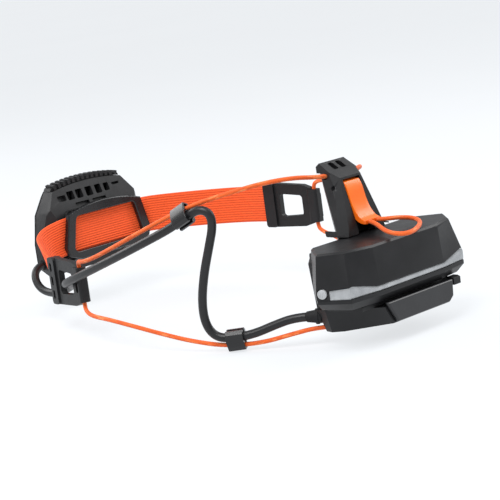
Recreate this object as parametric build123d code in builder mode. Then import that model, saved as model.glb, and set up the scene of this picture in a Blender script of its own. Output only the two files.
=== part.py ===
from build123d import *
import math
import os

# Running headlamp as worn: lamp at the forehead (-Y), battery at the back of the head (+Y),
# +Z up, +X the wearer's left. Origin: centre of the head loop. Millimetres.

os.makedirs("parts", exist_ok=True)

# ---------------------------------------------------------------- driving dimensions
HEAD_A = 70.0            # head loop half width
HEAD_B = 92.0            # head loop half length
STRAP_W = 20.0           # elastic strap width
STRAP_T = 1.6            # elastic strap thickness
STRAP_Y = -95.0          # strap mid plane at the forehead
FRAME_T = 2.6            # forehead frame thickness
LAMP_HALF = 35.0         # lamp half width
LAMP_TOP = 27.0
LAMP_BOT = -23.0
LAMP_BACK = -99.6        # lamp rear face
LAMP_SPLIT = -113.0      # rear shell to bezel
LAMP_FRONT = -122.0
TILT_Y = -104.0          # tilt axis, along X
TILT_Z = -14.0
WALL = 1.8
BAT_HALF = 46.0          # battery half width
BAT_BACK = 100.0         # battery face on the head side
BAT_FRONT = 129.5        # battery face away from the head
BAT_BOT = -22.0
CELL_R = 9.15            # one 18650 cell
CELL_L = 65.0
CABLE_D = 4.2
CORD_D = 2.1
CLR = 0.3                # gap between moving bodies


def save(builder, name):
    builder.part.label = name
    export_step(builder.part, f"parts/{name}.step")


def frame_plane(origin, x_dir, z_dir):
    return Plane(origin=origin, x_dir=x_dir, z_dir=z_dir)


def smooth_radii(pts):
    """Largest arc at each corner that its two runs allow."""
    out = []
    for i in range(1, len(pts) - 1):
        a, b, c = Vector(*pts[i - 1]), Vector(*pts[i]), Vector(*pts[i + 1])
        u, v = b - a, c - b
        turn = math.radians(u.get_angle(v))
        out.append(0.45 * min(u.length, v.length) / math.tan(turn / 2))
    return out


def tube_line(pts):
    return FilletPolyline(*pts, radius=smooth_radii(pts))


# ================================================================ FOREHEAD
# forehead frame: arched ring with a slanted window and a notch in its lower bar
with BuildPart() as forehead_frame:
    with BuildSketch(Plane(origin=(0, STRAP_Y + STRAP_T / 2 + 0.3, 0), x_dir=(-1, 0, 0), z_dir=(0, 1, 0))):
        with BuildLine():
            Polyline((-25.4, 11.2), (-29.8, -6.5), (-28.0, -11.4), (-20.5, -14.0), (-4.5, -14.0), (-2.8, -12.6),
                     (2.8, -12.6), (4.5, -14.0), (20.5, -14.0), (28.0, -11.4), (29.8, -6.5), (25.4, 11.2))
            ThreePointArc((25.4, 11.2), (0, 15.2), (-25.4, 11.2))
        make_face()
        with BuildSketch(mode=Mode.PRIVATE) as win:
            with BuildLine():
                Polyline((-20.3, 9.7), (-24.6, -9.5), (24.6, -9.5), (20.3, 9.7), close=True)
            make_face()
            fillet(win.vertices(), 2.6)
        add(win.sketch, mode=Mode.SUBTRACT)
    extrude(amount=FRAME_T)
    fillet(forehead_frame.faces().sort_by(Axis.Y)[-1].edges(), 0.7)
    # four posts that snap into the bracket above and below the strap
    with BuildSketch(Plane(origin=(0, STRAP_Y + STRAP_T / 2 + 0.3, 0), x_dir=(-1, 0, 0), z_dir=(0, 1, 0))):
        with Locations((-18, 11.6), (18, 11.6), (-18, -11.9), (18, -11.9)):
            Rectangle(6, 1.8)
    extrude(amount=-3.1)
save(forehead_frame, "forehead_frame")

# tilt bracket in front of the strap, with two ears for the tilt pin
with BuildPart() as tilt_bracket:
    with BuildSketch(Plane(origin=(0, STRAP_Y - STRAP_T / 2 - 0.2, 0), x_dir=(1, 0, 0), z_dir=(0, -1, 0))):
        RectangleRounded(48, 25.6, 3)
        with Locations((0, 0.6)):
            RectangleRounded(24, 12, 3, mode=Mode.SUBTRACT)
        # sockets for the frame's four posts
        with Locations((-18, 11.6), (18, 11.6), (-18, -11.9), (18, -11.9)):
            Rectangle(6.2, 2.0, mode=Mode.SUBTRACT)
    extrude(amount=2.2)
    # ears
    for sx in (-1, 1):
        with BuildSketch(Plane(origin=(sx * 19.0 - 2.0, 0, 0), x_dir=(0, 1, 0), z_dir=(1, 0, 0))):
            with BuildLine():
                Polyline((-97.0, -8.6), (TILT_Y, TILT_Z + 3.4), (TILT_Y - 2.0, TILT_Z + 2.8), (TILT_Y - 3.4, TILT_Z),
                         (TILT_Y - 2.0, TILT_Z - 2.8), (TILT_Y, TILT_Z - 3.4), (-97.0, -14.6), close=True)
            make_face()
            with Locations((TILT_Y, TILT_Z)):
                Circle(1.55, mode=Mode.SUBTRACT)
        extrude(amount=4.0)
save(tilt_bracket, "tilt_bracket")

with BuildPart() as tilt_pin:
    with BuildSketch(Plane(origin=(-21.4, TILT_Y, TILT_Z), x_dir=(0, 1, 0), z_dir=(1, 0, 0))):
        Circle(1.5)
    extrude(amount=42.8)
save(tilt_pin, "tilt_pin")


# elastic strap: ribbon along the head, from the right connector round the forehead to the left connector
def ell(xa, a=HEAD_A - 0.5, b=-STRAP_Y):
    return (xa, -b * math.sqrt(max(0.0, 1 - (xa / a) ** 2)), 0.0)


strap_stations = [
    ((-66.3, -31.0, 0.0), (0.10, -1.0, 0.0), (0, 0, 1)),
    ((-64.6, -40.0, 0.0), (0.24, -1.0, 0.0), (0, 0, 1)),
    ((-61.4, -50.0, 0.0), (0.40, -1.0, 0.0), (0, 0, 1)),
    ((-56.2, -61.0, 0.0), (0.56, -1.0, 0.0), (0, 0, 1)),
    ((-49.6, -72.0, 0.0), (0.66, -1.0, 0.0), (0, 0, 1)),
    ((-42.6, -82.0, 0.0), (0.80, -1.0, 0.0), (0, 0, 1)),
    ((-36.6, -89.6, 0.0), (1.0, -0.92, 0.0), (0, 0, 1)),
    ((-31.6, -93.9, 0.0), (1.0, -0.44, 0.0), (0, 0, 1)),
    ((-27.0, -95.2, 0.0), (1.0, -0.08, 0.0), (0, 0, 1)),
    ((-12.0, STRAP_Y, 0.0), (1.0, 0.0, 0.0), (0, 0, 1)),
    ((12.0, STRAP_Y, 0.0), (1.0, 0.0, 0.0), (0, 0, 1)),
    ((24.0, STRAP_Y, -0.3), (1.0, 0.0, -0.05), (0.05, 0, 1)),
    ((30.7, -95.2, -0.9), (0.98, 0.03, -0.17), (0.12, 0.01, 0.98)),
    ((36.9, -95.0, -1.9), (0.95, 0.22, -0.21), (0.20, 0.05, 0.98)),
    ((42.6, -92.4, -3.2), (0.79, 0.57, -0.21), (0.26, 0.01, 0.97)),
    ((47.5, -87.4, -4.8), (0.60, 0.76, -0.25), (0.36, -0.01, 0.93)),
    ((51.4, -81.0, -7.8), (0.50, 0.81, -0.36), (0.34, 0.10, 0.92)),
    ((54.6, -75.0, -11.4), (0.40, 0.85, -0.38), (0.18, 0.08, 0.95)),
    ((56.7, -70.2, -14.2), (0.24, 1.0, -0.16), (0.02, 0.0, 1)),
    ((57.8, -66.6, -15.05), (0.22, 1.0, 0.04), (-0.03, -0.04, 1)),
]
with BuildPart() as headband_strap:
    secs = []
    for (o, t, w) in strap_stations:
        tv, wv = Vector(*t).normalized(), Vector(*w).normalized()
        wv = (wv - tv * wv.dot(tv)).normalized()
        with BuildSketch(Plane(origin=o, x_dir=wv, z_dir=tv)) as sk:
            Rectangle(STRAP_W, STRAP_T)
        secs.append(sk.sketch.faces()[0])
    loft(sections=secs, ruled=True)
save(headband_strap, "headband_strap")


# ---------------------------------------------------------------- strap connectors
# plate seen from outside: x along its length from the strap end to the cord channel, y up
def connector(pl):
    with BuildSketch(pl.offset(-1.6)) as sk:
        with BuildLine():
            Polyline((-18.5, -10.4), (-16.0, -12.4), (9.0, -11.4), (18.0, -8.6), (19.2, -6.0), (19.2, 6.0),
                     (18.0, 8.6), (9.0, 11.4), (-16.0, 12.4), (-18.5, 10.4), close=True)
        make_face()
        with BuildSketch(mode=Mode.PRIVATE) as w1:
            with BuildLine():
                Polyline((-7.6, -6.4), (8.2, -5.6), (8.2, 5.2), (-7.6, 6.4), close=True)
            make_face()
            fillet(w1.vertices(), 1.8)
        add(w1.sketch, mode=Mode.SUBTRACT)
    extrude(to_extrude=sk.sketch, amount=3.2)
    # thick front bar with the pocket the strap is folded round
    with BuildSketch(pl.offset(-2.6)) as sk:
        with Locations((-14.6, 0)):
            RectangleRounded(7.4, 24.6, 1.6)
    extrude(to_extrude=sk.sketch, amount=5.2)
    # pocket for the strap end
    with BuildSketch(frame_plane(pl.from_local_coords((-18.6, 0, 0)), pl.y_dir, pl.x_dir)) as sk:
        Rectangle(STRAP_W + 0.8, STRAP_T + 1.1)
    extrude(to_extrude=sk.sketch, amount=5.2, mode=Mode.SUBTRACT)
    # three grip windows in the bar's outer wall
    with BuildSketch(pl.offset(1.0)) as sk:
        with Locations((-15.0, 0), (-15.0, 7.2), (-15.0, -7.2)):
            RectangleRounded(2.2, 4.6, 0.8)
    extrude(to_extrude=sk.sketch, amount=3, mode=Mode.SUBTRACT)
    # cord channel: barrel with a bore, open window in its middle
    with BuildSketch(frame_plane(pl.from_local_coords((15.6, -8.9, 0)), pl.x_dir, pl.y_dir)) as sk:
        RectangleRounded(6.8, 5.6, 2.0)
    extrude(to_extrude=sk.sketch, amount=17.8)
    with BuildSketch(frame_plane(pl.from_local_coords((15.6, -10.5, 0)), pl.x_dir, pl.y_dir)) as sk:
        Circle(CORD_D / 2 + 0.45)
    extrude(to_extrude=sk.sketch, amount=21, mode=Mode.SUBTRACT)
    with BuildSketch(pl.offset(1.4)) as sk:
        with Locations((15.2, 0)):
            RectangleRounded(2.6, 7.6, 0.9)
    extrude(to_extrude=sk.sketch, amount=3, mode=Mode.SUBTRACT)


# right connector on the far side, level with the strap
RC = Vector(-68.1, -14.2, -0.4)
RX = Vector(-0.10, 1.0, 0.0).normalized()
RN = Vector(-1.0, -0.10, 0.0).normalized()
plane_r = Plane(origin=RC, x_dir=RX, z_dir=RN)
with BuildPart() as strap_connector_right:
    connector(plane_r)
save(strap_connector_right, "strap_connector_right")

# left connector, hanging a little lower
LC = Vector(61.4, -50.6, -14.4)
LX = Vector(0.215, 0.972, 0.04).normalized()
LUP = Vector(-0.03, -0.04, 1.0).normalized()
LN = LX.cross(LUP).normalized()
plane_l = Plane(origin=LC, x_dir=LX, z_dir=LN)
with BuildPart() as strap_connector_left:
    connector(plane_l)
save(strap_connector_left, "strap_connector_left")


# ================================================================ LAMP (tilts about TILT axis)
def lamp_outline(grow=0.0):
    g = grow
    Polyline((-24.0 - g, 23.4 + g), (-31.5 - g, 12.0), (-LAMP_HALF - g, -4.0), (-LAMP_HALF - g, -17.0 - g),
             (-29.0 - g, LAMP_BOT - g), (29.0 + g, LAMP_BOT - g), (LAMP_HALF + g, -17.0 - g), (LAMP_HALF + g, -4.0),
             (31.5 + g, 12.0), (24.0 + g, 23.4 + g))
    ThreePointArc((24.0 + g, 23.4 + g), (0, 25.6 + g), (-24.0 - g, 23.4 + g))


with BuildPart() as lamp_rear_shell:
    with BuildSketch(Plane(origin=(0, LAMP_BACK, 0), x_dir=(1, 0, 0), z_dir=(0, -1, 0))):
        with BuildLine():
            lamp_outline()
        make_face()
    extrude(amount=LAMP_BACK - LAMP_SPLIT)
    # sloped upper back and lower back
    with BuildSketch(Plane(origin=(-50, 0, 0), x_dir=(0, 1, 0), z_dir=(1, 0, 0))):
        with BuildLine():
            Polyline((-99.0, 9.5), (-99.6, 9.5), (-106.6, 26.5), (-99.0, 26.5), close=True)
        make_face()
        with BuildLine():
            Polyline((-99.0, -5.5), (-101.0, -5.5), (-107.9, -7.8), (-107.9, -19.0), (-110.5, -24.0), (-99.0, -24.0), close=True)
        make_face()
    extrude(amount=100, mode=Mode.SUBTRACT)
    # side bevels of the back
    for sx in (-1, 1):
        with BuildSketch(Plane.XY.offset(-30)):
            with BuildLine():
                Polyline((sx * 27.0, -99.0), (sx * 36.0, -108.0), (sx * 38.0, -99.0), close=True)
            make_face()
        extrude(amount=60, mode=Mode.SUBTRACT)
    # hollow, open to the front
    with BuildSketch(Plane(origin=(0, LAMP_SPLIT, 0), x_dir=(-1, 0, 0), z_dir=(0, 1, 0))):
        with BuildLine():
            Polyline((-22.6, 21.8), (-29.8, 11.4), (-33.2, -4.4), (-33.2, -16.2), (-28.2, -21.2), (28.2, -21.2),
                     (33.2, -16.2), (33.2, -4.4), (29.8, 11.4), (22.6, 21.8), close=True)
        make_face()
    extrude(amount=2.4, mode=Mode.SUBTRACT)
    with BuildSketch(Plane(origin=(0, LAMP_SPLIT, 0), x_dir=(-1, 0, 0), z_dir=(0, 1, 0))):
        with BuildLine():
            Polyline((-22.6, 21.8), (-26.5, 11.4), (-26.5, -4.0), (26.5, -4.0), (26.5, 11.4), (22.6, 21.8), close=True)
        make_face()
    extrude(amount=6.6, mode=Mode.SUBTRACT)
    with BuildSketch(Plane(origin=(0, LAMP_SPLIT, 0), x_dir=(-1, 0, 0), z_dir=(0, 1, 0))):
        with Locations((0, 3.0)):
            Rectangle(52, 12)
    extrude(amount=11.4, mode=Mode.SUBTRACT)
    # vent windows through the sloped back: a row of five and two larger recesses below
    slope = Plane(origin=(0, -103.1, 18.0), x_dir=(-1, 0, 0), z_dir=(0, 0.925, 0.38))
    with BuildSketch(slope.offset(2)):
        for cx, wd, ht in ((-13.2, 4.6, 5.0), (-7.2, 4.4, 5.2), (-0.4, 4.6, 5.4), (6.2, 4.2, 5.2), (12.0, 3.6, 4.6)):
            with Locations((cx, 1.6)):
                RectangleRounded(wd, ht, 0.7)
    extrude(amount=-9, mode=Mode.SUBTRACT)
    with BuildSketch(slope.offset(2)):
        with Locations((-19.6, 1.0)):
            RectangleRounded(5.6, 3.4, 0.9)
        with Locations((18.6, 2.4)):
            RectangleRounded(5.2, 1.5, 0.7)
    extrude(amount=-4.2, mode=Mode.SUBTRACT)
    with BuildSketch(slope.offset(2)):
        for cx, wd in ((-7.4, 9.6), (4.4, 9.6)):
            with Locations((cx, -5.4)):
                RectangleRounded(wd, 4.6, 0.8)
    extrude(amount=-3.6, mode=Mode.SUBTRACT)
    # dark slot low on the left of the back
    with BuildSketch(Plane(origin=(0, LAMP_BACK + 0.2, 0), x_dir=(-1, 0, 0), z_dir=(0, 1, 0))):
        with Locations((-22.0, 3.4)):
            RectangleRounded(10, 3.0, 0.9)
    extrude(amount=-1.4, mode=Mode.SUBTRACT)
    for sx in (-1, 1):
        with BuildSketch(Plane(origin=(sx * 24.6, LAMP_BACK + 0.4, 6.6), x_dir=(-1, 0, 0), z_dir=(0, 1, 0))):
            Circle(1.6)
        extrude(amount=-1.5, mode=Mode.SUBTRACT)
    # hinge knuckle between the bracket's ears
    with BuildSketch(Plane(origin=(-16.4, 0, 0), x_dir=(0, 1, 0), z_dir=(1, 0, 0))):
        with BuildLine():
            Polyline((-108.6, -9.6), (TILT_Y, TILT_Z + 3.2), (TILT_Y + 2.4, TILT_Z + 2.1), (TILT_Y + 3.2, TILT_Z),
                     (TILT_Y + 2.4, TILT_Z - 2.1), (TILT_Y, TILT_Z - 3.2), (-108.6, -18.4), close=True)
        make_face()
    extrude(amount=32.8)
    with BuildSketch(Plane(origin=(-17, TILT_Y, TILT_Z), x_dir=(0, 1, 0), z_dir=(1, 0, 0))):
        Circle(1.55)
    extrude(amount=34, mode=Mode.SUBTRACT)
    # cable boss on the left, on the tilt axis
    with BuildSketch(Plane(origin=(27.0, TILT_Y, TILT_Z), x_dir=(0, 1, 0), z_dir=(1, 0, 0))):
        Circle(4.4)
    extrude(amount=5.6)
    with BuildSketch(Plane(origin=(27.0, 0, 0), x_dir=(0, 1, 0), z_dir=(1, 0, 0))):
        with Locations((-107.0, TILT_Z)):
            Rectangle(6.0, 8.8)
    extrude(amount=5.6)
    with BuildSketch(Plane(origin=(28.6, TILT_Y, TILT_Z), x_dir=(0, 1, 0), z_dir=(1, 0, 0))):
        Circle(3.2)
    extrude(amount=6, mode=Mode.SUBTRACT)
    # button bore on the right side
    with BuildSketch(Plane(origin=(-36, -108.6, 2.0), x_dir=(0, 1, 0), z_dir=(1, 0, 0))):
        SlotOverall(12.4, 6.6, rotation=90)
    extrude(amount=6, mode=Mode.SUBTRACT)
save(lamp_rear_shell, "lamp_rear_shell")

# cooling crest: arched cap with a row of small fins
with BuildPart() as cooling_crest:
    with BuildSketch(Plane(origin=(0, -106.9, 0), x_dir=(1, 0, 0), z_dir=(0, -1, 0))):
        with BuildLine():
            ThreePointArc((24.2, 23.6), (0, 25.8), (-24.2, 23.6))
            Line((-24.2, 23.6), (-23.4, 25.2))
            ThreePointArc((-23.4, 25.2), (0, 27.6), (23.4, 25.2))
            Line((23.4, 25.2), (24.2, 23.6))
        make_face()
    extrude(amount=6.1)
    with BuildSketch(Plane(origin=(0, -105.8, 0), x_dir=(1, 0, 0), z_dir=(0, -1, 0))):
        for i in range(14):
            fx = -21.45 + i * 3.3
            fz = 27.4 - 2.3 * (fx / 23.4) ** 2
            with Locations(Location((fx, fz, 0), (0, 0, -fx * 0.75))):
                Rectangle(1.7, 2.6)
    extrude(amount=7.2)
save(cooling_crest, "cooling_crest")

# finned heat sink seen through the vents
with BuildPart() as heat_sink:
    with BuildSketch(Plane(origin=(0, LAMP_SPLIT + 0.2, 0), x_dir=(-1, 0, 0), z_dir=(0, 1, 0))):
        with Locations((0, 14.0)):
            Rectangle(42, 13.6)
    extrude(amount=1.6)
    with BuildSketch(Plane(origin=(0, LAMP_SPLIT + 1.8, 0), x_dir=(-1, 0, 0), z_dir=(0, 1, 0))):
        for i in range(13):
            with Locations((-18 + 3 * i, 14.0)):
                Rectangle(1.1, 13.2)
    extrude(amount=4.2)
save(heat_sink, "heat_sink")

with BuildPart() as front_bezel:
    with BuildSketch(Plane(origin=(0, LAMP_SPLIT - 0.8, 0), x_dir=(1, 0, 0), z_dir=(0, -1, 0))) as bz0:
        with BuildLine():
            lamp_outline()
        make_face()
    with BuildSketch(Plane(origin=(0, LAMP_FRONT, 0), x_dir=(1, 0, 0), z_dir=(0, -1, 0))) as bz1:
        with BuildLine():
            Polyline((-20.5, 19.2), (-26.4, 10.0), (-29.0, -4.0), (-29.0, -14.0),
                     (-24.0, -19.0), (24.0, -19.0), (29.0, -14.0), (29.0, -4.0), (26.4, 10.0), (20.5, 19.2))
            ThreePointArc((20.5, 19.2), (0, 21.4), (-20.5, 19.2))
        make_face()
    loft(ruled=True)
    with BuildSketch(Plane(origin=(0, LAMP_FRONT - 1, 0), x_dir=(-1, 0, 0), z_dir=(0, 1, 0))):
        RectangleRounded(50, 27, 6)
    extrude(amount=12, mode=Mode.SUBTRACT)
    with BuildSketch(Plane(origin=(0, LAMP_FRONT - 0.5, 0), x_dir=(-1, 0, 0), z_dir=(0, 1, 0))):
        RectangleRounded(53, 30, 7)
    extrude(amount=2.4, mode=Mode.SUBTRACT)
    # sensor bore above the lens
    with BuildSketch(Plane(origin=(0, LAMP_FRONT - 1, 17.4), x_dir=(-1, 0, 0), z_dir=(0, 1, 0))):
        Circle(1.6)
    extrude(amount=12, mode=Mode.SUBTRACT)
save(front_bezel, "front_bezel")

with BuildPart() as lamp_gasket:
    with BuildSketch(Plane(origin=(0, LAMP_SPLIT - 0.05, 0), x_dir=(1, 0, 0), z_dir=(0, -1, 0))):
        with BuildLine():
            Polyline((-23.4, 22.8), (-30.8, 11.8), (-34.3, -4.0), (-34.3, -16.7),
                     (-28.7, -22.3), (28.7, -22.3), (34.3, -16.7), (34.3, -4.0), (30.8, 11.8), (23.4, 22.8), close=True)
        make_face()
        Rectangle(51, 30, mode=Mode.SUBTRACT)
    extrude(amount=0.7)
save(lamp_gasket, "lamp_gasket")

with BuildPart() as front_lens:
    with BuildSketch(Plane(origin=(0, LAMP_FRONT + 1.8, 0), x_dir=(1, 0, 0), z_dir=(0, -1, 0))):
        RectangleRounded(52.6, 29.6, 6.8)
    extrude(amount=2.6)
    fillet(front_lens.faces().sort_by(Axis.Y)[0].edges(), 1.2)
save(front_lens, "front_lens")

# reflector block with a wide bowl and a spot bowl
with BuildPart() as reflector:
    with BuildSketch(Plane(origin=(0, LAMP_FRONT + 2.1, 0), x_dir=(-1, 0, 0), z_dir=(0, 1, 0))):
        RectangleRounded(49.4, 26.4, 5.8)
    extrude(amount=5.9)
    for cx in (-12.4, 12.4):
        with BuildSketch(Plane(origin=(cx, LAMP_FRONT + 2.0, 0), x_dir=(-1, 0, 0), z_dir=(0, 1, 0))) as c0:
            Circle(10.6)
        with BuildSketch(Plane(origin=(cx, LAMP_FRONT + 8.2, 0), x_dir=(-1, 0, 0), z_dir=(0, 1, 0))) as c1:
            Circle(3.2)
        loft(sections=[c0.sketch.faces()[0], c1.sketch.faces()[0]], mode=Mode.SUBTRACT)
save(reflector, "reflector")

with BuildPart() as led_board:
    with BuildSketch(Plane(origin=(0, LAMP_FRONT + 8.2, 0), x_dir=(-1, 0, 0), z_dir=(0, 1, 0))):
        RectangleRounded(48, 25, 3)
    extrude(amount=0.7)
save(led_board, "led_board")

with BuildPart() as led_emitters:
    for cx in (-12.4, 12.4):
        with BuildSketch(Plane(origin=(cx, LAMP_FRONT + 8.1, 0), x_dir=(1, 0, 0), z_dir=(0, -1, 0))):
            Rectangle(3.4, 3.4)
        extrude(amount=0.8)
save(led_emitters, "led_emitters")

with BuildPart() as driver_board:
    with BuildSketch(Plane(origin=(0, LAMP_BACK - 8.4, 0), x_dir=(-1, 0, 0), z_dir=(0, 1, 0))):
        with Locations((0, 2.6)):
            Rectangle(50, 9)
    extrude(amount=1.4)
save(driver_board, "driver_board")

with BuildPart() as light_sensor:
    with BuildSketch(Plane(origin=(0, LAMP_FRONT - 0.4, 17.4), x_dir=(-1, 0, 0), z_dir=(0, 1, 0))):
        Circle(1.55)
    extrude(amount=6)
save(light_sensor, "light_sensor")

# power button on the right side of the lamp
with BuildPart() as power_button:
    with BuildSketch(Plane(origin=(-36.2, -108.6, 2.0), x_dir=(0, 1, 0), z_dir=(1, 0, 0))):
        SlotOverall(11.8, 6.0, rotation=90)
    extrude(amount=3.4)
    fillet(power_button.faces().sort_by(Axis.X)[0].edges(), 0.7)
save(power_button, "power_button")

with BuildPart() as lamp_screws:
    for sx in (-1, 1):
        with BuildSketch(Plane(origin=(sx * 24.6, LAMP_BACK + 0.2, 6.6), x_dir=(-1, 0, 0), z_dir=(0, 1, 0))):
            Circle(1.5)
        extrude(amount=-1.2)
save(lamp_screws, "lamp_screws")

with BuildPart() as lamp_cable_grommet:
    with BuildSketch(Plane(origin=(28.7, TILT_Y, TILT_Z), x_dir=(0, 1, 0), z_dir=(1, 0, 0))):
        Circle(3.1)
    extrude(amount=4.4)
    with BuildSketch(Plane(origin=(33.1, TILT_Y, TILT_Z), x_dir=(0, 1, 0), z_dir=(1, 0, 0))) as g0:
        Circle(3.7)
    with BuildSketch(Plane(origin=(38.4, TILT_Y, TILT_Z), x_dir=(0, 1, 0), z_dir=(1, 0, 0))) as g1:
        Circle(2.9)
    loft(sections=[g0.sketch.faces()[0], g1.sketch.faces()[0]])
save(lamp_cable_grommet, "lamp_cable_grommet")

# ================================================================ BATTERY
# faceted body: eight-sided in plan, rear face leaning in towards the top
plan_mid = [(-35, 100), (35, 100), (46, 112.5), (39.5, 127.2), (22, 129.6), (-22, 129.6), (-39.5, 127.2), (-46, 112.5)]
plan_top = [(-33.5, 100), (33.5, 100), (44.2, 113.5), (36, 123), (22, 127.8), (-22, 127.8), (-36, 123), (-44.2, 113.5)]
plan_bot = [(-33, 100), (33, 100), (41, 110), (36.6, 124.4), (21, 126.6), (-21, 126.6), (-36.6, 124.4), (-41, 110)]
plan_rim = [(-34.8, 100), (34.8, 100), (45.4, 112.2), (39.2, 127.2), (22, 129.6), (-22, 129.6), (-39.2, 127.2), (-45.4, 112.2)]
BAT_TOP = 4.6
STRIP_LOW = -16.3


def poly(z, pts):
    with BuildSketch(Plane.XY.offset(z)) as s:
        with BuildLine():
            Polyline(*pts, close=True)
        make_face()
    return s.sketch.faces()[0]


def strip_profile(dz=0.0, lift=0.0):
    """Outline of the tail light strip in the XZ plane, swollen over the corner facets."""
    with BuildLine():
        Polyline((-60, STRIP_LOW), (60, STRIP_LOW), (60, -12.4 + lift), (46, -12.4 + lift), (37.5, -10.6 + lift),
                 (23, -13.6 + lift), (-23, -13.6 + lift), (-37.5, -10.6 + lift), (-46, -12.4 + lift), (-60, -12.4 + lift),
                 close=True)
    make_face()


GAUGE = Vector(44.8, 115.2, -13.3)
GAUGE_N = Vector(0.915, 0.404, 0).normalized()
PORT = Vector(-39.84, 106.45, -6.0)                # charging port, on the right end's inner facet
PORT_N = Vector(-0.765, -0.645, 0).normalized()
PORT_T = Vector(-0.645, 0.765, 0).normalized()


def body_solid():
    loft(sections=[poly(-13.0, plan_mid), poly(BAT_TOP, plan_top)], ruled=True)
    with BuildSketch(Plane.XY.offset(STRIP_LOW - 0.01)) as sk:
        with BuildLine():
            Polyline(*plan_mid, close=True)
        make_face()
    extrude(to_extrude=sk.sketch, amount=3.4)


with BuildPart() as battery_cover:
    body_solid()
    chamfer(battery_cover.faces().sort_by(Axis.Z)[-1].edges(), 0.9)
    # remove the strip and what lies under it
    with BuildSketch(Plane(origin=(0, 112.4, 0), x_dir=(-1, 0, 0), z_dir=(0, 1, 0))):
        with BuildLine():
            Polyline((-60, -30), (60, -30), (60, STRIP_LOW + 0.1), (43.4, STRIP_LOW + 0.1), (43.4, -11.9), (37.5, -10.6), (23, -13.6), (-23, -13.6),
                     (-37.5, -10.6), (-43.4, -11.9), (-43.4, STRIP_LOW + 0.1), (-60, STRIP_LOW + 0.1), close=True)
        make_face()
    extrude(amount=60, mode=Mode.SUBTRACT)
    # hollow that follows the walls
    loft(sections=[poly(-16.6, [(-33.2, 102), (33.2, 102), (43.6, 112.8), (38.2, 124.6), (-38.2, 124.6), (-43.6, 112.8)]),
                   poly(2.8, [(-31.4, 102), (31.4, 102), (40.6, 113.4), (33.6, 120.6), (-33.6, 120.6), (-40.6, 113.4)])],
         ruled=True, mode=Mode.SUBTRACT)
    # bore of the round gauge button at the left end
    with BuildSketch(Plane(origin=GAUGE, x_dir=(0, 0, 1), z_dir=GAUGE_N)):
        Circle(2.45)
    extrude(amount=5, both=True, mode=Mode.SUBTRACT)
    # pocket of the charging port cover and the port's window, right end
    with BuildSketch(Plane(origin=PORT + PORT_N * 4, x_dir=PORT_T, z_dir=PORT_N)):
        RectangleRounded(7.2, 12.4, 1.4)
    extrude(amount=-5.2, mode=Mode.SUBTRACT)
    with BuildSketch(Plane(origin=PORT + PORT_N * 4, x_dir=PORT_T, z_dir=PORT_N)):
        RectangleRounded(3.8, 9.6, 1.6)
    extrude(amount=-9, mode=Mode.SUBTRACT)
    # seats of the contact pads
    with BuildSketch(Plane(origin=(0, 99.9, -12.0), x_dir=(-1, 0, 0), z_dir=(0, 1, 0))):
        with Locations((-10, 0), (0, 0), (10, 0)):
            Rectangle(5.2, 3.2)
    extrude(amount=1.0, mode=Mode.SUBTRACT)
save(battery_cover, "battery_cover")

with BuildPart() as tail_light_lens:
    with BuildSketch(Plane.XY.offset(STRIP_LOW)):
        with BuildLine():
            Polyline((-45.8, 108), (-45.8, 112.5), (-39.4, 127.0), (-22, 129.4), (22, 129.4), (39.4, 127.0), (45.8, 112.5),
                     (45.8, 108), (43.6, 108), (43.6, 112.0), (37.7, 125.2), (21.6, 127.2), (-21.6, 127.2), (-37.7, 125.2),
                     (-43.6, 112.0), (-43.6, 108), close=True)
        make_face()
    extrude(amount=6)
    with BuildSketch(Plane(origin=(0, 80, 0), x_dir=(-1, 0, 0), z_dir=(0, 1, 0))):
        with BuildLine():
            Polyline((-60, 0), (60, 0), (60, -30), (43.3, -30), (43.3, -12.0), (37.5, -10.7), (23, -13.7), (-23, -13.7),
                     (-37.5, -10.7), (-43.3, -12.0), (-43.3, -30), (-60, -30), close=True)
        make_face()
    extrude(amount=60, mode=Mode.SUBTRACT)
    # notch round the gauge button
    with BuildSketch(Plane(origin=GAUGE, x_dir=(0, 0, 1), z_dir=GAUGE_N)):
        Circle(2.45)
    extrude(amount=5, both=True, mode=Mode.SUBTRACT)
save(tail_light_lens, "tail_light_lens")

with BuildPart() as battery_base:
    loft(sections=[poly(BAT_BOT, plan_bot), poly(-18.2, plan_rim)], ruled=True)
    with BuildSketch(Plane.XY.offset(-18.2)):
        with BuildLine():
            Polyline(*plan_rim, close=True)
        make_face()
    extrude(amount=1.8)
    with BuildSketch(Plane.XY.offset(-20.4)):
        with BuildLine():
            Polyline((-32, 102), (32, 102), (39, 110), (35.6, 123.4), (-35.6, 123.4), (-39, 110), close=True)
        make_face()
    extrude(amount=6, mode=Mode.SUBTRACT)
    for sx in (-1, 1):
        with BuildSketch(Plane.XY.offset(BAT_BOT - 0.2)):
            with Locations((sx * 30, 108)):
                Circle(1.55)
        extrude(amount=1.8, mode=Mode.SUBTRACT)
save(battery_base, "battery_base")

with BuildPart() as battery_cell:
    with BuildSketch(Plane(origin=(1.0 - CELL_L / 2, 0, 0), x_dir=(0, 1, 0), z_dir=(1, 0, 0))):
        with Locations((112.6, -10.4)):
            Circle(CELL_R)
    extrude(amount=CELL_L)
save(battery_cell, "battery_cell")

with BuildPart() as battery_board:
    with BuildSketch(Plane.XY.offset(0.6)):
        with Locations((0, 112.0)):
            Rectangle(62, 15.4)
    extrude(amount=1.4)
save(battery_board, "battery_board")

with BuildPart() as tail_leds:
    for lx in (-30, -10, 10, 30):
        with BuildSketch(Plane.XY.offset(-15.6)):
            with Locations((lx, 123.8 if abs(lx) < 20 else 122.6)):
                Rectangle(3.0, 2.0)
        extrude(amount=1.6)
save(tail_leds, "tail_leds")

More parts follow.
